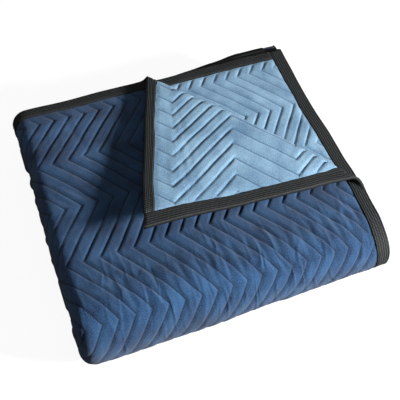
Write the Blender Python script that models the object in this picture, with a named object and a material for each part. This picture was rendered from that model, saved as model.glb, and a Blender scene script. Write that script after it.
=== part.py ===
# Moving blanket, folded in half four times, with one top corner turned back.
#
# The blanket is a quilted pad: a navy face cloth and a light back cloth, stitched through in
# zigzag rows and bound on all four edges with woven tape. Each piece is first modelled flat,
# at its cut size, and then every point goes through the same folds, as the real pad did.
#
# Flat coordinates: s runs across the pad from its right side edge, t runs along it from its
# back end edge, and w is the height above the middle of the pad's thickness.
# The folded part is in metres, +Z up, its front towards -Y, its origin under its middle.

import math

import bmesh
import bpy
from mathutils import Vector

# The pad laid out flat
PAD_ACROSS = 1.829
PAD_ALONG = 2.032

# The folded stack, as it lies
STACK_WIDTH = 0.474
STACK_DEPTH = 0.455
LAYER = 0.0062
LAYERS = 16
STACK_MID_X = 0.0195
STACK_MID_Y = 0.0288

# Thickness of the cloths, from the middle of the pad outwards
PLY_INSIDE = 0.00015
MARGIN_SKIN = 0.0012
PLAIN_SKIN = 0.0025
QUILT_LOW = 0.0012
QUILT_HIGH = 0.0027

# Binding tape folded over the edges
TAPE_WIDTH = 0.0235
TAPE_WEB = 0.0010
TAPE_INSIDE = 0.0015
TAPE_OUTSIDE = 0.0025
SEAT = 0.0003
TAPE_CLEAR = 0.001

# Zigzag quilting: lines one pitch apart, which turn back at every row of tips
PITCH = 0.0231
SWING = 1.5 * PITCH
TIP_ROWS = 4.27 * PITCH
FIRST_TIP = 1.97 * PITCH
LINE_START = 0.38 * PITCH

# The corner turned back over a slanting crease, from the end edge to the side edge
CREASE_ON_END = 0.265
CREASE_ON_SIDE = 0.370
CREASE_RADIUS = 0.007
CREASE_TURN = math.radians(174)
CORNER_STRETCH = 1.40
CORNER_SKEW = 0.39

# How unevenly the stack lies: thicker on its left, wider at its back and out of square
THICKER_LEFT = 0.55
WIDER_BACK = 0.25
SKEWED_BACK = 0.125
DEEPER_RIGHT = 0.127

# Facets along the bends
SMALL_FOLD_STEPS = 6
SIDE_FOLD_STEPS = 7
NOSE_STEPS = 9
CREASE_STEPS = 8
CREASE_PARTS = 4
PLAIN_ACROSS = 3
PLAIN_ALONG = 3

# How far each fold's hinge lies below the middle of the top layer
HINGE_ACROSS_1 = -0.5 * LAYER
HINGE_ALONG_1 = -1.5 * LAYER
HINGE_ACROSS_2 = -3.5 * LAYER
HINGE_ALONG_2 = -7.5 * LAYER


def bend_length(hinge):
    """Length of pad that one half turn takes up."""
    return math.pi * abs(hinge)


# Where each fold starts, measured along the pad as it lies folded so far
FOLD_ACROSS_1 = PAD_ACROSS / 2 - bend_length(HINGE_ACROSS_1) / 2
FOLD_ALONG_1 = PAD_ALONG / 2 - bend_length(HINGE_ALONG_1) / 2
FOLD_ACROSS_2 = STACK_WIDTH + HINGE_ACROSS_2 - PLAIN_SKIN
FOLD_ALONG_2 = STACK_DEPTH + HINGE_ALONG_2 - PLAIN_SKIN


def fold_under(along, height, start, hinge):
    """Carry a point round a half turn that starts at start and takes the pad under itself."""
    past = along - start
    if past <= 0:
        return along, height
    bend = bend_length(hinge)
    radius = height - hinge
    if past < bend:
        turn = math.pi * past / bend
        return start + radius * math.sin(turn), hinge + radius * math.cos(turn)
    return start - (past - bend), hinge - radius


CREASE_LENGTH = math.hypot(CREASE_ON_END, CREASE_ON_SIDE)
CREASE_OUT = Vector((CREASE_ON_SIDE, CREASE_ON_END)) / CREASE_LENGTH
CREASE_RUN = Vector((-CREASE_OUT.y, CREASE_OUT.x))
CREASE_AWAY = CREASE_ON_END * CREASE_ON_SIDE / CREASE_LENGTH
CREASE_BEND = CREASE_RADIUS * CREASE_TURN


def turn_corner_back(s, t, w):
    """Roll the pad's first corner up and over the slanting crease."""
    flat = Vector((s, t))
    past = CREASE_AWAY - flat.dot(CREASE_OUT)
    if past <= 0:
        return s, t, w
    turn = min(past / CREASE_RADIUS, CREASE_TURN)
    beyond = max(past - CREASE_BEND, 0.0)
    radius = CREASE_RADIUS - w
    towards_corner = radius * math.sin(turn) + CORNER_STRETCH * beyond * math.cos(turn)
    height = CREASE_RADIUS - radius * math.cos(turn) + beyond * math.sin(turn)
    run = flat.dot(CREASE_RUN) + CORNER_SKEW * beyond
    moved = CREASE_OUT * (CREASE_AWAY - towards_corner) + CREASE_RUN * run
    return moved.x, moved.y, height


def fold_up(point):
    """Take one point of the flat pad to its place in the folded stack."""
    s, t, height = turn_corner_back(*point)
    s, height = fold_under(s, height, FOLD_ACROSS_1, HINGE_ACROSS_1)
    t, height = fold_under(t, height, FOLD_ALONG_1, HINGE_ALONG_1)
    s, height = fold_under(s, height, FOLD_ACROSS_2, HINGE_ACROSS_2)
    t, height = fold_under(t, height, FOLD_ALONG_2, HINGE_ALONG_2)
    x = STACK_WIDTH / 2 - s
    y = STACK_DEPTH / 2 - t
    stack_height = min(height, 0.0) + (LAYERS - 1) * LAYER + TAPE_OUTSIDE
    z = stack_height * (1 - THICKER_LEFT * x) + max(height, 0.0)
    x, y = x + (SKEWED_BACK + WIDER_BACK * x) * y, y * (1 + DEEPER_RIGHT * x)
    return Vector((x - STACK_MID_X, y - STACK_MID_Y, z))


def zigzag(t):
    """How far the stitch lines have swung along s, at t."""
    rows = (t - FIRST_TIP) / TIP_ROWS
    return SWING * (1 - 2 * abs(rows % 2 - 1))


def quilt_height(s, t):
    """Skin of the quilting: low on a stitch line, high midway between two."""
    phase = ((s - LINE_START - zigzag(t)) / PITCH) % 1
    return QUILT_LOW + (QUILT_HIGH - QUILT_LOW) * (1 - abs(2 * phase - 1))


def tip_rows(end):
    """Every t before the end at which the zigzag turns back."""
    return [FIRST_TIP + TIP_ROWS * row for row in range(math.ceil((end - FIRST_TIP) / TIP_ROWS))]


def steps(start, length, count):
    """Evenly spaced stations over one stretch, both ends among them."""
    return [start + length * i / count for i in range(count + 1)]


def mirrored(stations, full):
    return stations + [full - station for station in stations]


def stations_across():
    """Every s at which the pad starts, goes on with or ends a bend."""
    found = steps(FOLD_ACROSS_1, bend_length(HINGE_ACROSS_1), SMALL_FOLD_STEPS)
    side_fold = steps(FOLD_ACROSS_2, bend_length(HINGE_ACROSS_2), SIDE_FOLD_STEPS)
    plain = steps(0, FOLD_ACROSS_2, PLAIN_ACROSS)[1:-1]
    return found + mirrored(side_fold + plain, PAD_ACROSS)


def stations_along():
    """Every t at which the pad starts, goes on with or ends a bend."""
    found = steps(FOLD_ALONG_1, bend_length(HINGE_ALONG_1), SMALL_FOLD_STEPS)
    nose = steps(FOLD_ALONG_2, bend_length(HINGE_ALONG_2), NOSE_STEPS)
    plain = steps(nose[-1], FOLD_ALONG_1 - nose[-1], PLAIN_ALONG)[1:-1]
    bent_tips = [row for row in tip_rows(NOSE_QUILTED) if row > FOLD_ALONG_2]
    return found + bent_tips + mirrored(nose + plain, PAD_ALONG)


class Zone:
    """A rectangle of the flat pad."""

    def __init__(self, s_low, s_high, t_low, t_high):
        self.s_low, self.s_high = s_low, s_high
        self.t_low, self.t_high = t_low, t_high

    def holds(self, point):
        return self.s_low < point.x < self.s_high and self.t_low < point.y < self.t_high


NOSE_QUILTED = FOLD_ALONG_2 + bend_length(HINGE_ALONG_2) * (1 - 1 / NOSE_STEPS)
CORNER = Zone(-1, CREASE_ON_END + TAPE_WIDTH, -1, CREASE_ON_SIDE + TAPE_WIDTH)
QUILT_EDGE = TAPE_WIDTH + TAPE_CLEAR
TOP_AND_NOSE = Zone(QUILT_EDGE, FOLD_ACROSS_2, QUILT_EDGE, NOSE_QUILTED)
TURNED_CORNER = Zone(QUILT_EDGE, CORNER.s_high, QUILT_EDGE, CORNER.t_high)
UNDER_CORNER = Zone(PAD_ACROSS - CORNER.s_high, PAD_ACROSS - QUILT_EDGE, QUILT_EDGE, CORNER.t_high)


def cut(mesh, at, normal, zone=None, side=0):
    """Cut the flat solid's faces along one upright plane, in a zone and on one side if given."""
    faces = mesh.faces[:]
    if zone:
        faces = [face for face in faces if zone.holds(face.calc_center_median())]
    if side:
        mesh.normal_update()
        faces = [face for face in faces if face.normal.z * side > 0.5]
    edges = {edge for face in faces for edge in face.edges}
    points = {vert for face in faces for vert in face.verts}
    bmesh.ops.bisect_plane(
        mesh, geom=[*points, *edges, *faces], dist=1e-6,
        plane_co=(*at, 0), plane_no=(*normal, 0))


def cut_bends(mesh):
    """Cut a flat solid wherever a fold bends it, and along the crease of the corner."""
    for s in stations_across() + [CORNER.s_high, PAD_ACROSS - CORNER.s_high]:
        cut(mesh, (s, 0), (1, 0))
    for t in stations_along() + [CORNER.t_high]:
        cut(mesh, (0, t), (0, 1))
    for t in steps(0, CREASE_ON_SIDE, CREASE_PARTS)[1:-1]:
        cut(mesh, (0, t), (0, 1), CORNER)
    for past in steps(0, CREASE_BEND, CREASE_STEPS):
        cut(mesh, CREASE_OUT * (CREASE_AWAY - past), CREASE_OUT, CORNER)


def cut_quilting(mesh, zone, side):
    """Cut one skin along the zigzag's stitch lines and along the ridges midway between them."""
    for row in tip_rows(zone.t_high):
        cut(mesh, (0, row), (0, 1), zone, side)
    band_edges = [zone.t_low, *tip_rows(zone.t_high), zone.t_high]
    for low, high in zip(band_edges, band_edges[1:]):
        slope = (zigzag(high) - zigzag(low)) / (high - low)
        band = Zone(zone.s_low, zone.s_high, low, high)
        first = math.floor((zone.s_low - LINE_START - SWING) / PITCH * 2)
        last = math.ceil((zone.s_high - LINE_START + SWING) / PITCH * 2)
        for half_pitch in range(first, last + 1):
            on_line = LINE_START + zigzag(low) + half_pitch * PITCH / 2
            cut(mesh, (on_line, low), (1, -slope), band, side)


def flat_slab(s_low, s_high, t_low, t_high, w_low, w_high):
    """A box of the flat pad."""
    mesh = bmesh.new()
    bmesh.ops.create_cube(mesh, size=1)
    bmesh.ops.scale(mesh, vec=(s_high - s_low, t_high - t_low, w_high - w_low), verts=mesh.verts)
    middle = ((s_low + s_high) / 2, (t_low + t_high) / 2, (w_low + w_high) / 2)
    bmesh.ops.translate(mesh, vec=middle, verts=mesh.verts)
    return mesh


def flat_cloth(side, quilted_zones):
    """One cloth of the pad, on its upper side (1) or under side (-1), with its quilting raised."""
    edge = TAPE_WEB + SEAT
    inside = side * PLY_INSIDE
    outside = side * MARGIN_SKIN
    mesh = flat_slab(
        edge, PAD_ACROSS - edge, edge, PAD_ALONG - edge,
        min(inside, outside), max(inside, outside))
    for inwards in (TAPE_WIDTH, QUILT_EDGE):
        for s in (inwards, PAD_ACROSS - inwards):
            cut(mesh, (s, 0), (1, 0))
        for t in (inwards, PAD_ALONG - inwards):
            cut(mesh, (0, t), (0, 1))
    cut_bends(mesh)
    for zone in quilted_zones:
        cut_quilting(mesh, zone, side)
    clear = 1e-5
    for vert in mesh.verts:
        s, t, w = vert.co
        in_from_side = min(s, PAD_ACROSS - s)
        in_from_end = min(t, PAD_ALONG - t)
        if abs(w) < MARGIN_SKIN - clear or min(in_from_side, in_from_end) < TAPE_WIDTH + clear:
            continue
        quilted = any(
            zone.s_low - clear < s < zone.s_high + clear and zone.t_low - clear < t < zone.t_high + clear
            for zone in quilted_zones)
        vert.co.z = side * (quilt_height(s, t) if quilted else PLAIN_SKIN)
    return mesh


def flat_tape(length):
    """A binding tape folded over an edge: its section is a C, open towards the pad."""
    mesh = bmesh.new()
    section = [
        (0, -TAPE_OUTSIDE), (TAPE_WIDTH, -TAPE_OUTSIDE), (TAPE_WIDTH, -TAPE_INSIDE),
        (TAPE_WEB, -TAPE_INSIDE), (TAPE_WEB, TAPE_INSIDE), (TAPE_WIDTH, TAPE_INSIDE),
        (TAPE_WIDTH, TAPE_OUTSIDE), (0, TAPE_OUTSIDE)]
    end = mesh.faces.new([mesh.verts.new((inwards, 0, w)) for inwards, w in section])
    bmesh.ops.recalc_face_normals(mesh, faces=[end])
    grown = bmesh.ops.extrude_face_region(mesh, geom=[end])
    far_end = [item for item in grown["geom"] if isinstance(item, bmesh.types.BMVert)]
    bmesh.ops.translate(mesh, vec=(0, length, 0), verts=far_end)
    return mesh


def side_tape(far_side):
    """The tape over one side edge, as long as the pad."""
    mesh = flat_tape(PAD_ALONG)
    if far_side:
        for vert in mesh.verts:
            vert.co.x = PAD_ACROSS - vert.co.x
    return mesh


def end_tape(far_end):
    """The tape over one end edge, which fits between the two side tapes."""
    mesh = flat_tape(PAD_ACROSS - 2 * (TAPE_WIDTH + SEAT))
    for vert in mesh.verts:
        inwards, run, w = vert.co
        t = PAD_ALONG - inwards if far_end else inwards
        vert.co = (TAPE_WIDTH + SEAT + run, t, w)
    return mesh


def cloth_material(name, colour, roughness):
    """A plain woven cloth of one colour."""
    material = bpy.data.materials.new(name)
    material.use_nodes = True
    shader = material.node_tree.nodes["Principled BSDF"]
    shader.inputs["Base Color"].default_value = (*colour, 1)
    shader.inputs["Roughness"].default_value = roughness
    shader.inputs["Metallic"].default_value = 0
    return material


def halve_quads(mesh):
    """Cut every flat quad the same way, so that pieces that lie together bend alike."""
    mesh.normal_update()
    for face in mesh.faces[:]:
        if len(face.verts) == 4 and abs(face.normal.z) > 0.5:
            ordered = sorted(face.verts, key=lambda vert: vert.co.x + vert.co.y)
            if not any(ordered[0] in edge.verts and ordered[-1] in edge.verts for edge in face.edges):
                bmesh.utils.face_split(face, ordered[0], ordered[-1])


def place_folded(name, mesh, material):
    """Fold a flat solid up with the rest of the pad and add it to the scene."""
    halve_quads(mesh)
    bmesh.ops.triangulate(mesh, faces=mesh.faces[:])
    for vert in mesh.verts:
        vert.co = fold_up(vert.co)
    if mesh.calc_volume(signed=True) < 0:
        bmesh.ops.reverse_faces(mesh, faces=mesh.faces[:])
    data = bpy.data.meshes.new(name)
    mesh.to_mesh(data)
    mesh.free()
    data.materials.append(material)
    placed = bpy.data.objects.new(name, data)
    bpy.context.collection.objects.link(placed)
    return placed


def make_cloths():
    navy = cloth_material("navy face cloth", (0.022, 0.055, 0.150), 0.85)
    light = cloth_material("light back cloth", (0.200, 0.360, 0.560), 0.80)
    place_folded("face_cloth", flat_cloth(1, [TOP_AND_NOSE]), navy)
    place_folded("back_cloth", flat_cloth(-1, [TURNED_CORNER, UNDER_CORNER]), light)


def make_binding():
    black = cloth_material("black binding tape", (0.018, 0.017, 0.016), 0.75)
    tapes = {
        "side_binding_outer": side_tape(False),
        "side_binding_inner": side_tape(True),
        "end_binding_upper": end_tape(False),
        "end_binding_lower": end_tape(True)}
    for name, mesh in tapes.items():
        cut_bends(mesh)
        place_folded(name, mesh, black)


for old in list(bpy.data.objects):
    bpy.data.objects.remove(old)
make_cloths()
make_binding()
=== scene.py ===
# %% [markdown]
# # A folded moving blanket
#
# The real thing is a quilted pad: navy cloth on one face, light blue on the other, sewn through in
# zigzag lines and bound with black woven tape. It lies folded in half four times, sixteen layers
# deep, and one top corner is turned back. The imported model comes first, because every piece made
# here has to sit where its solids sit.

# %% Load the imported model
import math

import bmesh
import bpy
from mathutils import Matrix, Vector, noise


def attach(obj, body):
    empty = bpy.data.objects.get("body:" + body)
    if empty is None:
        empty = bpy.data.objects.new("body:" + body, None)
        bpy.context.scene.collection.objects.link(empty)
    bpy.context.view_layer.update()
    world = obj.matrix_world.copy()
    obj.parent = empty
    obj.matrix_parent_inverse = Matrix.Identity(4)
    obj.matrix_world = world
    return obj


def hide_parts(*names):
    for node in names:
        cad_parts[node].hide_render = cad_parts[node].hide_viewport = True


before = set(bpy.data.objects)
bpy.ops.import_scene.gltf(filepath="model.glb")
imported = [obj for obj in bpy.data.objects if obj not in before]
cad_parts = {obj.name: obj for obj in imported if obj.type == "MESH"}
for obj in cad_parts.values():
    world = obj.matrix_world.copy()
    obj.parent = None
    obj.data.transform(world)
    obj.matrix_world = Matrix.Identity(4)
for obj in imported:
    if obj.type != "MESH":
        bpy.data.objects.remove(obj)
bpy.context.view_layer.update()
MM = 0.001
print("solids:", sorted(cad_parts))

# %% [markdown]
# The pad is made flat and then folded, as the real one was. Flat coordinates are s, across the pad
# from its right side edge, t, along it from its back end edge, and w, the height above the middle
# of its thickness. These are the same sizes that the solids were built from.

# %% Sizes of the pad and of the folded stack
PAD_ACROSS = 1.829
PAD_ALONG = 2.032
STACK_WIDTH = 0.474
STACK_DEPTH = 0.455
LAYER = 6.2 * MM
LAYERS = 16
STACK_MID_X = 19.5 * MM
STACK_MID_Y = 28.8 * MM
PLAIN_SKIN = 2.5 * MM
TAPE_WIDTH = 23.5 * MM
TAPE_OUTSIDE = 2.5 * MM
HINGE_ACROSS_1 = -0.5 * LAYER
HINGE_ALONG_1 = -1.5 * LAYER
HINGE_ACROSS_2 = -3.5 * LAYER
HINGE_ALONG_2 = -7.5 * LAYER
THICKER_LEFT = 0.55
WIDER_BACK = 0.25
SKEWED_BACK = 0.125
DEEPER_RIGHT = 0.127


def bend_length(hinge):
    return math.pi * abs(hinge)


FOLD_ACROSS_1 = PAD_ACROSS / 2 - bend_length(HINGE_ACROSS_1) / 2
FOLD_ALONG_1 = PAD_ALONG / 2 - bend_length(HINGE_ALONG_1) / 2
FOLD_ACROSS_2 = STACK_WIDTH + HINGE_ACROSS_2 - PLAIN_SKIN
FOLD_ALONG_2 = STACK_DEPTH + HINGE_ALONG_2 - PLAIN_SKIN
NOSE_END = FOLD_ALONG_2 + bend_length(HINGE_ALONG_2)
SIDE_FOLD_END = FOLD_ACROSS_2 + bend_length(HINGE_ACROSS_2)
print(f"the front nose takes up {bend_length(HINGE_ALONG_2) * 1000:.0f} mm of the top layer")

# %% [markdown]
# One fold is a half turn round a hinge that lies below the layers being folded. Four of them, one
# after another, make the stack, so no layer has to be drawn by itself.


# %% One fold
def fold_under(along, height, start, hinge):
    """Carry a point round a half turn that starts at start and takes the pad under itself."""
    past = along - start
    if past <= 0:
        return along, height
    bend = bend_length(hinge)
    radius = height - hinge
    if past < bend:
        turn = math.pi * past / bend
        return start + radius * math.sin(turn), hinge + radius * math.cos(turn)
    return start - (past - bend), hinge - radius


# %% [markdown]
# The corner is rolled up and over a slanting crease before the folds. Cloth pulled on the bias
# gives, so the turned-back part is a little longer away from the crease.

# %% The corner that is turned back
CREASE_ON_END = 0.265
CREASE_ON_SIDE = 0.370
CREASE_RADIUS = 7.0 * MM
CREASE_TURN = math.radians(174)
CORNER_STRETCH = 1.40
CORNER_SKEW = 0.39
CREASE_LENGTH = math.hypot(CREASE_ON_END, CREASE_ON_SIDE)
CREASE_OUT = Vector((CREASE_ON_SIDE, CREASE_ON_END)) / CREASE_LENGTH
CREASE_RUN = Vector((-CREASE_OUT.y, CREASE_OUT.x))
CREASE_AWAY = CREASE_ON_END * CREASE_ON_SIDE / CREASE_LENGTH
CREASE_BEND = CREASE_RADIUS * CREASE_TURN


def turn_corner_back(s, t, w):
    """Roll the pad's first corner up and over the slanting crease."""
    flat = Vector((s, t))
    past = CREASE_AWAY - flat.dot(CREASE_OUT)
    if past <= 0:
        return s, t, w
    turn = min(past / CREASE_RADIUS, CREASE_TURN)
    beyond = max(past - CREASE_BEND, 0.0)
    radius = CREASE_RADIUS - w
    towards_corner = radius * math.sin(turn) + CORNER_STRETCH * beyond * math.cos(turn)
    height = CREASE_RADIUS - radius * math.cos(turn) + beyond * math.sin(turn)
    run = flat.dot(CREASE_RUN) + CORNER_SKEW * beyond
    moved = CREASE_OUT * (CREASE_AWAY - towards_corner) + CREASE_RUN * run
    return moved.x, moved.y, height


# %% [markdown]
# Real folded cloth is never straight. A slow random wave moves every layer together, by a few
# millimetres, so the edges wander and nothing cuts through its neighbour. It fades to nothing at
# the bottom, where the stack lies flat.

# %% From the flat pad to the folded stack
WAVE_LENGTH = 0.11
WAVE_HEIGHT = 3.0 * MM
FLAT_BOTTOM = 12 * MM
BACK_PEEK = 25 * MM
PEEK_REACH = 0.2
WAVE_SEED = 1
noise.seed_set(WAVE_SEED)  # without it Blender takes the seed from the clock


def clamped(share):
    """The share, but never below 0 or above 1."""
    return min(max(share, 0.0), 1.0)


def wander(point):
    """A slow wave in space that shifts neighbouring layers alike."""
    shift = noise.noise_vector(point / WAVE_LENGTH) * WAVE_HEIGHT
    shift += noise.noise_vector(point / WAVE_LENGTH * 2.7) * WAVE_HEIGHT * 0.35
    grip = min(max(point.z / FLAT_BOTTOM, 0.0), 1.0)
    return Vector((shift.x * grip, shift.y * grip, shift.z * grip * 0.6))


def back_peek(layers_down, x, y):
    """How far the third to sixth layers peek out behind the top two, at the back right corner."""
    grown = clamped((layers_down - 1.2) / 0.8)
    deep = grown * clamped((8 - layers_down) / 3)
    return BACK_PEEK * deep * (clamped(x / PEEK_REACH) * clamped(y / PEEK_REACH))


def fold_up(s, t, w):
    """Take one point of the flat pad to its place in the folded stack."""
    s, t, height = turn_corner_back(s, t, w)
    s, height = fold_under(s, height, FOLD_ACROSS_1, HINGE_ACROSS_1)
    t, height = fold_under(t, height, FOLD_ALONG_1, HINGE_ALONG_1)
    s, height = fold_under(s, height, FOLD_ACROSS_2, HINGE_ACROSS_2)
    t, height = fold_under(t, height, FOLD_ALONG_2, HINGE_ALONG_2)
    x = STACK_WIDTH / 2 - s
    y = STACK_DEPTH / 2 - t
    stack_height = min(height, 0.0) + (LAYERS - 1) * LAYER + TAPE_OUTSIDE
    z = stack_height * (1 - THICKER_LEFT * x) + max(height, 0.0)
    x, y = x + (SKEWED_BACK + WIDER_BACK * x) * y, y * (1 + DEEPER_RIGHT * x)
    y += back_peek(-height / LAYER, x, y)
    point = Vector((x - STACK_MID_X, y - STACK_MID_Y, z))
    return point + wander(point)


print("middle of the top layer:", [round(c, 3) for c in fold_up(0.23, 0.23, 0)])

# %% [markdown]
# The quilting is one family of parallel stitch lines, a pitch apart, that turn back at every row
# of tips. Between two lines the filling lifts the cloth into a rounded ridge, and no two ridges
# are quite alike, so a seeded noise makes them fuller here and flatter there.

# %% The zigzag quilting
PITCH = 23.1 * MM
SWING = 1.5 * PITCH
TIP_ROWS = 4.27 * PITCH
FIRST_TIP = 1.97 * PITCH
LINE_START = 0.38 * PITCH
QUILT_LOW = 0.6 * MM
QUILT_HIGH = 3.2 * MM
MARGIN_SKIN = 1.2 * MM
MARGIN_RISE = 4 * MM
THINNEST = 0.45 * MM
# How far the painted shade of a stitch groove reaches, in pitches.
GROOVE_SHADE_REACH = 1 / 8
TAPE_EASED = 0.3
TAPE_EASE_RUN = 30 * MM


def zigzag(t):
    """How far the stitch lines have swung along s, at t."""
    rows = (t - FIRST_TIP) / TIP_ROWS
    return SWING * (1 - 2 * abs(rows % 2 - 1))


def puff(s, t):
    """0 on a stitch line, up to 1 on the ridge between two."""
    phase = ((s - LINE_START - zigzag(t)) / PITCH) % 1
    return 1 - (1 - math.sin(math.pi * phase)) ** 3


def groove_shade_share(s, t):
    """1 on a stitch line, 0 an eighth of a pitch away from it or further: how much painted shade
    its groove gets.
    """
    phase = ((s - LINE_START - zigzag(t)) / PITCH + 0.5) % 1 - 0.5
    return max(1 - abs(phase) / GROOVE_SHADE_REACH, 0.0) * margin(s, t)


def tape_share(s, t):
    """How much of its width the tape keeps: less on the turned corner, which is eased longer."""
    past = CREASE_AWAY - Vector((s, t)).dot(CREASE_OUT)
    return 1 - TAPE_EASED * clamped(past / TAPE_EASE_RUN)


def margin(s, t):
    """0 under the tape, 1 well inside it."""
    inwards = min(s, PAD_ACROSS - s, t, PAD_ALONG - t) - TAPE_WIDTH * tape_share(s, t)
    return clamped(inwards / MARGIN_RISE)


# %% [markdown]
# The creases that the photograph shows are soft troughs, placed on the flat pad. Each row
# gives where a trough starts and ends, in pitches, and its half width and depth in millimetres.
# Those on the nose are where the layers are pressed together lengthwise as they go round.

# %% Creases
TOP_CREASES = [
    # s start, t start, s end, t end, half width in mm, depth in mm
    (17.2, 2.6, 16.4, 6.4, 5, 1.6),
    (18.3, 5.0, 17.0, 5.6, 4, 1.4),
    (18.8, 8.5, 17.0, 10.5, 4, 1.8),
    (20.0, 8.6, 18.6, 10.2, 4, 1.8),
    (18.6, 12.2, 14.0, 13.0, 5, 1.2),
]
NOSE_CREASES = [
    (17.8 - 0.86 * i + 0.3 * (i % 2), 15.2 + 0.5 * (i % 3), 17.7 - 0.86 * i, 19.6 - 0.7 * (i % 2),
     3.2, 1.9 + 0.4 * (i % 2))
    for i in range(20)
]
CORNER_CREASES = [
    (7.9, 1.7, 4.1, 2.5, 3, 1.4),
    (4.1, 2.5, 1.2, 3.1, 3, 1.4),
    (7.6, 2.2, 4.0, 3.1, 3, 1.2),
    (4.0, 3.1, 1.2, 3.5, 3, 1.2),
    (5.4, 1.4, 2.2, 1.6, 4, 0.9),
]
LAYER_CREASES = [
    (77.6, 10.6, 77.9, 14.0, 4, 1.7),
    (78.1, 7.1, 78.3, 11.5, 4, 1.0),
]


def crease_depth(creases, s, t):
    """How far the troughs lower the cloth at one point."""
    depth = 0.0
    here = Vector((s, t))
    for s_0, t_0, s_1, t_1, half_width, deep in creases:
        start = Vector((s_0, t_0)) * PITCH
        run = Vector((s_1, t_1)) * PITCH - start
        share = min(max((here - start).dot(run) / run.length_squared, 0.0), 1.0)
        away = (here - start - run * share).length / (half_width * MM)
        if away < 3:
            depth += deep * MM * math.exp(-away * away) * (1 - 0.35 * abs(2 * share - 1))
    return depth


def skin(s, t, creases):
    """The height of a cloth's outer face over the pad's middle. Creases of None mean plain."""
    if creases is None:
        return MARGIN_SKIN + (PLAIN_SKIN - MARGIN_SKIN) * margin(s, t)
    fullness = 0.88 + 0.30 * noise.noise(Vector((s, t, 3.0)) / (1.6 * PITCH))
    if s < PAD_ACROSS / 2:
        fullness -= 0.5 * min(max((s - FOLD_ACROSS_2 + PITCH) / PITCH, 0.0), 1.0)
    rumple = 0.45 * MM * noise.noise(Vector((s, t, 9.0)) / (0.5 * PITCH))
    quilted = QUILT_LOW + (QUILT_HIGH - QUILT_LOW) * puff(s, t) * fullness + rumple
    inside = margin(s, t)
    lowered = crease_depth(creases, s, t) if inside > 0 else 0.0
    return max(MARGIN_SKIN * (1 - inside) + (quilted - lowered) * inside, THINNEST)


# %% [markdown]
# Each cloth starts as one grid. Where the quilting shows, the grid's columns follow the zigzag,
# an eighth of a pitch apart, so that every stitch line runs exactly along mesh edges and stays
# crisp. Where the pad is folded away, the columns are straight and far apart.

# %% Stations of the grids
FINE = PITCH / 8
ROW = TIP_ROWS / 24
ZIGZAG_LEFT = 0.575
ZIGZAG_RIGHT = 0.38
ZIGZAG_FADES = 0.06
RAW_EDGE = 1.5 * MM


def evenly(start, end, step):
    """Stations from start to end, no further apart than step."""
    count = max(1, math.ceil((end - start) / step - 1e-9))
    return [start + (end - start) * i / count for i in range(count + 1)]


def joined(*runs):
    """Several runs of stations as one rising list without doubles."""
    found = []
    for station in sorted(value for run in runs for value in run):
        if not found or station - found[-1] > 0.5 * MM:
            found.append(station)
    return found


def fine_columns(low, high):
    """Columns on the quilting's own spacing, from low to high."""
    first = math.ceil((low - LINE_START) / FINE)
    last = math.floor((high - LINE_START) / FINE)
    return [LINE_START + FINE * i for i in range(first, last + 1)]


def zigzag_share(s):
    """1 where columns follow the zigzag, 0 where they are straight."""
    left = 1 - clamped((s - ZIGZAG_LEFT) / ZIGZAG_FADES)
    right = 1 - clamped((PAD_ACROSS - ZIGZAG_RIGHT - s) / ZIGZAG_FADES)
    return max(left, right)


BEND_1 = FOLD_ACROSS_1 + bend_length(HINGE_ACROSS_1)
END_1 = FOLD_ALONG_1 + bend_length(HINGE_ALONG_1)
ROWS_TOP = [FIRST_TIP + ROW * i for i in range(-12, 130)]
ROWS_DEEP = joined(
    evenly(NOSE_END + 0.02, FOLD_ALONG_1, 0.045), evenly(FOLD_ALONG_1, END_1, 3.5 * MM),
    evenly(END_1, PAD_ALONG - NOSE_END, 0.045),
    evenly(PAD_ALONG - NOSE_END, PAD_ALONG - FOLD_ALONG_2, 9 * MM),
    evenly(PAD_ALONG - FOLD_ALONG_2, PAD_ALONG, 0.045))

# %% [markdown]
# The grid is laid out flat, trimmed square at the pad's edges, given its outer face, and only then
# folded. Its flat coordinates are kept as a UV map, so the weave runs along the cloth wherever the
# cloth goes. Solidify gives it the thickness of a cloth, inwards.


# %% Make a cloth
def flat_grid(columns, rows):
    """A grid with its vertices on the given columns and rows."""
    mesh = bmesh.new()
    across, along = len(columns) - 1, len(rows) - 1
    bmesh.ops.create_grid(mesh, x_segments=across, y_segments=along, size=0.5)
    for vert in mesh.verts:
        column = round((vert.co.x + 0.5) * across)
        row = round((vert.co.y + 0.5) * along)
        vert.co.x, vert.co.y = columns[column], rows[row]
    return mesh


def trim(mesh, at, outwards):
    """Cut the flat grid square and drop what lies outside."""
    everything = mesh.verts[:] + mesh.edges[:] + mesh.faces[:]
    bmesh.ops.bisect_plane(
        mesh, geom=everything, dist=1e-6, plane_co=at, plane_no=outwards, clear_outer=True)


def keep_flat_uv(mesh):
    """Keep where each point lies on the flat cloth, in metres, as a UV map."""
    layer = mesh.loops.layers.uv.new("flat")
    for face in mesh.faces:
        for loop in face.loops:
            loop[layer].uv = loop.vert.co.xy


def add_piece(name, mesh, material, replaced=None):
    """Put a finished mesh in the scene, on the part's only body."""
    data = bpy.data.meshes.new(name)
    mesh.to_mesh(data)
    mesh.free()
    data.shade_smooth()
    data.materials.append(material)
    piece = bpy.data.objects.new(name, data)
    bpy.context.collection.objects.link(piece)
    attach(piece, "root")
    if replaced:
        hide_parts(replaced)
    print(f"{name}: {len(data.polygons)} faces")
    return piece


def thicken(piece, thickness):
    """Give a sheet its thickness, inwards from its outer face."""
    solid = piece.modifiers.new("cloth thickness", "SOLIDIFY")
    solid.thickness = thickness
    solid.offset = -1


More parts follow.
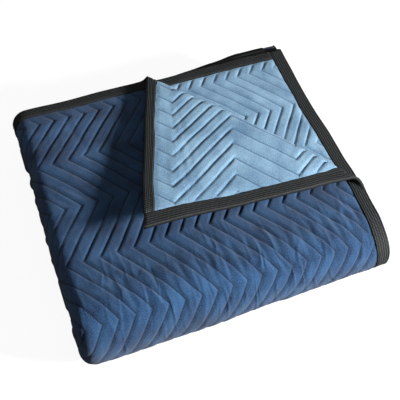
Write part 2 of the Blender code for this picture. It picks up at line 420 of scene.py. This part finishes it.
def make_cloth(name, side, columns, rows, material, creases_at):
    """One cloth of the pad, on its upper side (1) or its under side (-1)."""
    mesh = flat_grid(columns, rows)
    for vert in mesh.verts:
        vert.co.x += zigzag(vert.co.y) * zigzag_share(vert.co.x)
    trim(mesh, (RAW_EDGE, 0, 0), (-1, 0, 0))
    trim(mesh, (PAD_ACROSS - RAW_EDGE, 0, 0), (1, 0, 0))
    keep_flat_uv(mesh)
    stitch_groove_shaded = mesh.verts.layers.float.new("stitch_groove_shaded")
    for vert in mesh.verts:
        s, t, _ = vert.co
        creases = creases_at(s, t)
        # Painted shade in the stitch grooves, kept on the points for the cloth's material.
        vert[stitch_groove_shaded] = 0.0 if creases is None else groove_shade_share(s, t)
        vert.co = fold_up(s, t, side * skin(s, t, creases))
    if side < 0:
        bmesh.ops.reverse_faces(mesh, faces=mesh.faces)
    piece = add_piece(name + "_sewn", mesh, material, name)
    thicken(piece, 0.4 * MM)


# %% [markdown]
# Colours are written as sRGB hex values, as a painter would read them off, and turned linear
# here. One function adds a node with its settings and its links.


# %% Helpers for materials
def hex_colour(code):
    """An sRGB hex value as linear red, green, blue and alpha."""
    channels = [int(code[i:i + 2], 16) / 255 for i in (1, 3, 5)]
    linear = [c / 12.92 if c <= 0.04045 else ((c + 0.055) / 1.055) ** 2.4 for c in channels]
    return (*linear, 1.0)


def add_node(material, kind, inputs=None, **settings):
    """Add one node. An input is a value, or the output socket that feeds it."""
    tree = material.node_tree
    node = tree.nodes.new(kind)
    for setting, value in settings.items():
        setattr(node, setting, value)
    for key, value in (inputs or {}).items():
        if isinstance(value, bpy.types.NodeSocket):
            tree.links.new(value, node.inputs[key])
        else:
            node.inputs[key].default_value = value
    return node


def new_material(name):
    material = bpy.data.materials.new(name)
    material.use_nodes = True
    return material, material.node_tree.nodes["Principled BSDF"]


# %% [markdown]
# Both cloths are plain-woven polyester. Its threads are about half a millimetre apart, too fine
# for this picture, so the weave is drawn at 1.3 mm. The dull sheen of its fibres shows on the
# ridges, and slow blotches of lighter and darker cloth keep it from looking painted. Along each
# stitch line the colour is darkened towards a third one: painted shade in the stitch groove.


# %% Woven cloth
def woven_cloth(name, dark, pale, groove_shade_colour, weave_mm, wrinkles):
    material, shader = new_material(name)
    link = material.node_tree.links.new
    flat = add_node(material, "ShaderNodeUVMap", uv_map="flat").outputs["UV"]
    waves = 1 / (weave_mm * MM) * math.tau / 20
    weft = add_node(
        material, "ShaderNodeTexWave", {"Vector": flat, "Scale": waves, "Distortion": 0.6},
        bands_direction="X").outputs["Fac"]
    warp = add_node(
        material, "ShaderNodeTexWave", {"Vector": flat, "Scale": waves, "Distortion": 0.6},
        bands_direction="Y").outputs["Fac"]
    weave = add_node(
        material, "ShaderNodeMath", {0: weft, 1: warp}, operation="MULTIPLY").outputs[0]
    fibre = add_node(
        material, "ShaderNodeTexNoise", {"Vector": flat, "Scale": 1 / (1.6 * MM), "Detail": 3.0}
    ).outputs["Fac"]
    blotch = add_node(
        material, "ShaderNodeTexNoise", {"Vector": flat, "Scale": 1 / (45 * MM), "Detail": 4.0}
    ).outputs["Fac"]
    mixed = add_node(
        material, "ShaderNodeMath", {0: blotch, 1: fibre}, operation="ADD").outputs[0]
    shade = add_node(
        material, "ShaderNodeMapRange",
        {"Value": mixed, "From Min": 0.7, "From Max": 1.3}).outputs["Result"]
    colour = add_node(
        material, "ShaderNodeMix", {0: shade, 6: hex_colour(dark), 7: hex_colour(pale)},
        data_type="RGBA").outputs[2]
    # A darker colour along each stitch line: painted shade in the stitch groove.
    stitch_groove_shaded = add_node(material, "ShaderNodeAttribute", attribute_name="stitch_groove_shaded").outputs["Fac"]
    groove_shade_amount = add_node(
        material, "ShaderNodeMapRange",
        {"Value": stitch_groove_shaded, "From Min": 0.35, "From Max": 0.95, "To Max": 0.85}).outputs["Result"]
    with_groove_shade = add_node(
        material, "ShaderNodeMix", {0: groove_shade_amount, 6: colour, 7: hex_colour(groove_shade_colour)},
        data_type="RGBA").outputs[2]
    link(with_groove_shade, shader.inputs["Base Color"])
    height = add_node(
        material, "ShaderNodeMath", {0: weave, 1: fibre}, operation="ADD").outputs[0]
    weave_bump = add_node(
        material, "ShaderNodeBump", {"Height": height, "Strength": 0.9, "Distance": 0.5 * MM})
    stretched = add_node(
        material, "ShaderNodeMapping", {"Vector": flat, "Scale": (1 / 0.014, 1 / 0.045, 1)})
    crumple = add_node(
        material, "ShaderNodeTexNoise",
        {"Vector": stretched.outputs[0], "Scale": 1.0, "Detail": 2.5, "Distortion": 0.7},
        noise_type="RIDGED_MULTIFRACTAL", normalize=False).outputs["Fac"]
    along = add_node(material, "ShaderNodeSeparateXYZ", {"Vector": flat}).outputs["Y"]
    past_middle = add_node(
        material, "ShaderNodeMath", {0: along, 1: FOLD_ALONG_2 + 0.03}, operation="SUBTRACT")
    away = add_node(
        material, "ShaderNodeMath", {0: past_middle.outputs[0]}, operation="ABSOLUTE").outputs[0]
    near_nose = add_node(
        material, "ShaderNodeMapRange",
        {"Value": away, "From Min": 0.05, "From Max": 0.11, "To Min": 1.0, "To Max": 0.25})
    amount = add_node(
        material, "ShaderNodeMath", {0: near_nose.outputs["Result"], 1: crumple},
        operation="MULTIPLY").outputs[0]
    wrinkle_bump = add_node(
        material, "ShaderNodeBump",
        {"Height": amount, "Strength": wrinkles, "Distance": 3.5 * MM,
         "Normal": weave_bump.outputs["Normal"]})
    link(wrinkle_bump.outputs["Normal"], shader.inputs["Normal"])
    shader.inputs["Roughness"].default_value = 0.8
    shader.inputs["Sheen Weight"].default_value = 0.15
    shader.inputs["Sheen Roughness"].default_value = 0.5
    shader.inputs["Specular IOR Level"].default_value = 0.12
    return material


# The third colour of each cloth is the painted shade in its stitch grooves.
navy_cloth = woven_cloth("navy woven polyester", "#122542", "#31567d", "#050b16", 1.3, 1.0)
light_cloth = woven_cloth("light blue woven polyester", "#4f7494", "#92b6cf", "#3d5f80", 1.3, 0.5)

# %% [markdown]
# The binding is a black polypropylene tape with a ribbed weave. The ribs lie across it, about
# 1.9 mm apart, and catch the light as small grey dashes. These are painted into its colour as
# highlights on the ribs, varied by the fibre's own random tone.


# %% Ribbed tape
def ribbed_tape(name, dark, pale, rib_mm):
    material, shader = new_material(name)
    link = material.node_tree.links.new
    flat = add_node(material, "ShaderNodeUVMap", uv_map="flat").outputs["UV"]
    waves = 1 / (rib_mm * MM) * math.tau / 20
    ribs = add_node(
        material, "ShaderNodeTexWave", {"Vector": flat, "Scale": waves, "Distortion": 0.8},
        bands_direction="Y").outputs["Fac"]
    cords = add_node(
        material, "ShaderNodeTexWave", {"Vector": flat, "Scale": waves * 0.5, "Distortion": 0.8},
        bands_direction="X").outputs["Fac"]
    fibre = add_node(
        material, "ShaderNodeTexNoise", {"Vector": flat, "Scale": 1 / (2.2 * MM), "Detail": 3.0}
    ).outputs["Fac"]
    weave = add_node(
        material, "ShaderNodeMath", {0: ribs, 1: cords}, operation="MULTIPLY").outputs[0]
    # Painted highlights on the rib crests, with the fibre's random tone mixed in.
    rib_highlight_and_grain = add_node(
        material, "ShaderNodeMath", {0: weave, 1: fibre}, operation="MULTIPLY").outputs[0]
    shade = add_node(
        material, "ShaderNodeMapRange",
        {"Value": rib_highlight_and_grain, "From Min": 0.05, "From Max": 0.42}).outputs["Result"]
    colour = add_node(
        material, "ShaderNodeMix", {0: shade, 6: hex_colour(dark), 7: hex_colour(pale)},
        data_type="RGBA").outputs[2]
    link(colour, shader.inputs["Base Color"])
    bump = add_node(
        material, "ShaderNodeBump", {"Height": weave, "Strength": 1.0, "Distance": 0.8 * MM})
    link(bump.outputs["Normal"], shader.inputs["Normal"])
    shader.inputs["Roughness"].default_value = 0.7
    shader.inputs["Specular IOR Level"].default_value = 0.2
    return material


# The paler grey is the painted highlight on the ribs.
black_tape = ribbed_tape("black ribbed polypropylene tape", "#0b0c0c", "#484b4c", 1.9)

# %% [markdown]
# The two cloths. Fine columns and rows are only spent where a cloth shows: the navy one on the
# top, the nose and the left fold, the light one on the turned corner and on the layer below it.

# %% Face cloth and back cloth
face_columns = joined(
    fine_columns(-SWING - FINE, 0.60), evenly(0.60, FOLD_ACROSS_1, 0.05),
    evenly(FOLD_ACROSS_1, BEND_1, 1.6 * MM), evenly(BEND_1, PAD_ACROSS - SIDE_FOLD_END, 0.05),
    evenly(PAD_ACROSS - SIDE_FOLD_END, PAD_ACROSS - FOLD_ACROSS_2, 7 * MM),
    evenly(PAD_ACROSS - FOLD_ACROSS_2, PAD_ACROSS + SWING, 0.045))
back_columns = joined(
    fine_columns(-SWING - FINE, 0.36), evenly(0.36, FOLD_ACROSS_2, 0.05),
    evenly(FOLD_ACROSS_2, SIDE_FOLD_END, 7 * MM), evenly(SIDE_FOLD_END, FOLD_ACROSS_1, 0.05),
    evenly(FOLD_ACROSS_1, BEND_1, 1.6 * MM), evenly(BEND_1, PAD_ACROSS - SIDE_FOLD_END, 0.05),
    evenly(PAD_ACROSS - SIDE_FOLD_END, PAD_ACROSS - FOLD_ACROSS_2, 7 * MM),
    fine_columns(PAD_ACROSS - 0.34, PAD_ACROSS + SWING + FINE))
face_rows = joined(
    [RAW_EDGE], [t for t in ROWS_TOP if RAW_EDGE < t < NOSE_END + 0.02], ROWS_DEEP[:-1],
    [PAD_ALONG - RAW_EDGE])
back_rows = joined(
    [RAW_EDGE], [t for t in ROWS_TOP if RAW_EDGE < t < 0.37], evenly(0.37, FOLD_ALONG_2, 0.03),
    evenly(FOLD_ALONG_2, NOSE_END, 8 * MM), ROWS_DEEP[:-1], [PAD_ALONG - RAW_EDGE])


def creases_on_face(s, t):
    """The creases near a point, or None outside the fine grid, where ridges would be jagged."""
    if s > 0.58 or t > NOSE_END + 0.015:
        return None
    if t > FOLD_ALONG_2 - PITCH and s < SIDE_FOLD_END and t < NOSE_END:
        return NOSE_CREASES
    return TOP_CREASES if t < FOLD_ALONG_2 and s < FOLD_ACROSS_2 else []


def creases_on_back(s, t):
    if t > 0.365 or 0.35 < s < PAD_ACROSS - 0.33:
        return None
    return CORNER_CREASES if s < 0.3 else LAYER_CREASES


make_cloth("face_cloth", 1, face_columns, face_rows, navy_cloth, creases_on_face)
make_cloth("back_cloth", -1, back_columns, back_rows, light_cloth, creases_on_back)

# %% [markdown]
# The stitches are real tubes of thread, 0.3 mm in radius. Each one dips at the needle holes and
# lies proud between them, 3 mm to a stitch. Only lines that show get them.

# %% Stitch lines
STITCH = 3 * MM
THREAD_RADIUS = 0.3 * MM


def thread_piece(name, runs, material):
    """Many runs of thread as one mesh. Each run is a list of folded points."""
    curve = bpy.data.curves.new(name, "CURVE")
    curve.dimensions = "3D"
    curve.bevel_depth = THREAD_RADIUS
    curve.bevel_resolution = 0
    for run in runs:
        spline = curve.splines.new("POLY")
        spline.points.add(len(run) - 1)
        for point, place in zip(spline.points, run):
            point.co = (*place, 1)
    tubes = bpy.data.objects.new(name, curve)
    bpy.context.collection.objects.link(tubes)
    mesh = bmesh.new()
    mesh.from_mesh(tubes.to_mesh(depsgraph=bpy.context.evaluated_depsgraph_get()))
    bpy.data.objects.remove(tubes)
    add_piece(name, mesh, material)


def stitched_run(path, height):
    """Points of one thread: path turns a step number into s and t, height lifts it off the pad."""
    run = []
    for step, (s, t) in enumerate(path):
        dip = -0.35 * MM if step % 2 else 0.2 * MM
        run.append(fold_up(s, t, height(s, t, dip)))
    return run


def quilting_runs(side, s_low, s_high, t_low, t_high, creases_at):
    """The zigzag's threads over one rectangle of the flat pad."""
    first = math.floor((s_low - LINE_START - SWING) / PITCH)
    last = math.ceil((s_high - LINE_START + SWING) / PITCH)
    runs = []
    for line in range(first, last + 1):
        path = []
        for t in evenly(t_low, t_high, STITCH / 2):
            s = LINE_START + line * PITCH + zigzag(t)
            if s_low < s < s_high and margin(s, t) > 0.1:
                path.append((s, t))
            elif path:
                runs.append(path)
                path = []
        runs.append(path)

    def lifted(s, t, dip):
        return side * (skin(s, t, creases_at(s, t)) + dip)

    return [stitched_run(path, lifted) for path in runs if len(path) > 3]


navy_thread, navy_thread_shader = new_material("navy thread")
navy_thread_shader.inputs["Base Color"].default_value = hex_colour("#0b1428")
navy_thread_shader.inputs["Roughness"].default_value = 0.5
light_thread, light_thread_shader = new_material("light blue thread")
light_thread_shader.inputs["Base Color"].default_value = hex_colour("#3f5f86")
light_thread_shader.inputs["Roughness"].default_value = 0.5
thread_piece("face_stitches", quilting_runs(
    1, 0, 0.52, 0, NOSE_END, creases_on_face), navy_thread)
thread_piece("corner_stitches", quilting_runs(
    -1, 0, 0.30, 0, 0.36, creases_on_back), light_thread)
thread_piece("layer_stitches", quilting_runs(
    -1, PAD_ACROSS - 0.30, PAD_ACROSS, 0, 0.36, creases_on_back),
    light_thread)

# %% [markdown]
# The tape is one long strip folded over the pad's raw edge. Its section is a narrow C with a
# round back. It is slightly wavy along its inner edges, because the machine gathers it there.

# %% Binding tape
TAPE_BACK = 2.4 * MM
TAPE_ROW = 6 * MM


def tape_section(count=5):
    """The C across the tape: how far inwards and how high, from the upper inner edge round."""
    arms = [TAPE_WIDTH, TAPE_WIDTH - 1.2 * MM, 17 * MM, 11 * MM, 6 * MM]
    upper = [(inwards, 2.35 * MM if inwards < TAPE_WIDTH else 1.7 * MM) for inwards in arms]
    turns = [math.pi * (i + 0.5) / count for i in range(count)]
    back = [(TAPE_BACK * (1 - math.sin(a)), TAPE_BACK * math.cos(a)) for a in turns]
    return upper + back + [(inwards, -w) for inwards, w in reversed(upper)]


def make_tape(name, length, place):
    """One strip of tape. place turns inwards and run into s and t."""
    section = tape_section()
    mesh = flat_grid(list(range(len(section))), evenly(0, length, TAPE_ROW))
    layer = mesh.loops.layers.uv.new("flat")
    for face in mesh.faces:
        for loop in face.loops:
            column = round(loop.vert.co.x)
            side = 1 if column < len(section) // 2 else -1
            loop[layer].uv = (section[column][0] * side, loop.vert.co.y)
    for vert in mesh.verts:
        inwards, w = section[round(vert.co.x)]
        run = vert.co.y
        gather = noise.noise(Vector((run / (9 * MM), w * 900, 1.0)))
        if inwards > 4 * MM:
            inwards += 0.8 * MM * gather
            w += math.copysign(0.25 * MM * gather, w)
        inwards *= tape_share(*place(inwards, run))
        s, t = place(inwards, run)
        vert.co = fold_up(s, t, w)
    return add_piece(name + "_tape", mesh, black_tape, name)


def outer_side(inwards, run):
    return inwards, run


def inner_side(inwards, run):
    return PAD_ACROSS - inwards, run


def upper_end(inwards, run):
    """The end with the turned corner. It starts where the eased side tape leaves off."""
    narrower = TAPE_EASED * TAPE_WIDTH * (1 - min(run / TAPE_EASE_RUN, 1.0))
    return TAPE_WIDTH - narrower + run, inwards


def lower_end(inwards, run):
    return TAPE_WIDTH + run, PAD_ALONG - inwards


TAPES = {
    "side_binding_outer": (PAD_ALONG, outer_side, False),
    "side_binding_inner": (PAD_ALONG, inner_side, True),
    "end_binding_upper": (PAD_ACROSS - 2 * TAPE_WIDTH, upper_end, True),
    "end_binding_lower": (PAD_ACROSS - 2 * TAPE_WIDTH, lower_end, False)}
for name, (length, place, mirrored) in TAPES.items():
    tape = make_tape(name, length, place)
    if not mirrored:
        tape.data.flip_normals()
    thicken(tape, 0.6 * MM)

# %% [markdown]
# Two rows of stitches hold the tape, one near the pad's edge and one near the tape's own.

# %% Stitches on the tape
TAPE_ROWS = (2.5 * MM, 19 * MM)


def tape_runs(place, low, high, side):
    """The stitches along one tape between two stations, on the pad's upper or under side."""
    def lifted(s, t, dip):
        return side * (TAPE_OUTSIDE + dip)

    runs = []
    for inwards in TAPE_ROWS:
        path = []
        for run in evenly(low, high, STITCH / 2):
            kept = inwards * tape_share(*place(inwards, run))
            path.append(place(kept, run))
        runs.append(stitched_run(path, lifted))
    return runs


black_thread, black_thread_shader = new_material("black thread")
black_thread_shader.inputs["Base Color"].default_value = hex_colour("#060606")
black_thread_shader.inputs["Roughness"].default_value = 0.6
thread_piece(
    "tape_stitches",
    tape_runs(outer_side, 0, NOSE_END, 1) + tape_runs(outer_side, 0, 0.42, -1)
    + tape_runs(inner_side, 0, 0.42, -1) + tape_runs(upper_end, 0, 0.50, 1)
    + tape_runs(upper_end, 0, 0.30, -1)
    + tape_runs(upper_end, PAD_ACROSS - 0.34, PAD_ACROSS - 2 * TAPE_WIDTH, -1), black_thread)

# %% [markdown]
# The floor is grey to the light, so it throws little back, and glows pale for the camera alone,
# like the photograph's even ground. The key light is small and low at the front right. A weak
# broad one above and a faint white world fill the shade.

# %% Floor, light and camera
FLOOR_SIZE = 8.0
floor_mesh = bmesh.new()
bmesh.ops.create_grid(floor_mesh, x_segments=1, y_segments=1, size=FLOOR_SIZE / 2)
floor_data = bpy.data.meshes.new("floor")
floor_mesh.to_mesh(floor_data)
floor_mesh.free()
floor = bpy.data.objects.new("floor", floor_data)
bpy.context.collection.objects.link(floor)
floor_material, floor_shader = new_material("pale studio floor")
floor_shader.inputs["Base Color"].default_value = hex_colour("#707070")
seen = add_node(floor_material, "ShaderNodeLightPath").outputs["Is Camera Ray"]
floor_material.node_tree.links.new(seen, floor_shader.inputs["Emission Strength"])
floor_shader.inputs["Emission Color"].default_value = (0.92, 0.92, 0.92, 1)
floor_shader.inputs["Roughness"].default_value = 0.9
floor_data.materials.append(floor_material)
floor.location.z = -0.5 * MM


def area_light(name, azimuth, elevation, distance, size, power):
    """A square light that looks at the stack. Azimuth 0 is straight in front, + is to the right."""
    lamp = bpy.data.lights.new(name, "AREA")
    lamp.size = size
    lamp.energy = power
    placed = bpy.data.objects.new(name, lamp)
    bpy.context.collection.objects.link(placed)
    az, el = math.radians(azimuth), math.radians(elevation)
    towards = Vector((math.sin(az) * math.cos(el), -math.cos(az) * math.cos(el), math.sin(el)))
    placed.location = towards * distance
    placed.rotation_euler = towards.to_track_quat("Z", "Y").to_euler()


area_light("key light", 42, 21, 2.2, 0.3, 128)
area_light("top light", -20, 80, 2.4, 1.6, 6)
world = bpy.data.worlds.new("studio")
world.use_nodes = True
world.node_tree.nodes["Background"].inputs["Color"].default_value = hex_colour("#ffffff")
world.node_tree.nodes["Background"].inputs["Strength"].default_value = 0.13
bpy.context.scene.world = world

camera_data = bpy.data.cameras.new("camera")
camera_data.lens = 60.5
camera_data.sensor_width = 36
camera = bpy.data.objects.new("camera", camera_data)
bpy.context.collection.objects.link(camera)
camera.location = (-0.3154, -0.6908, 0.7897)
camera.rotation_euler = (math.radians(90 - 46.59), 0, math.radians(-24.69))
bpy.context.scene.camera = camera
bpy.context.scene.view_settings.view_transform = "Standard"
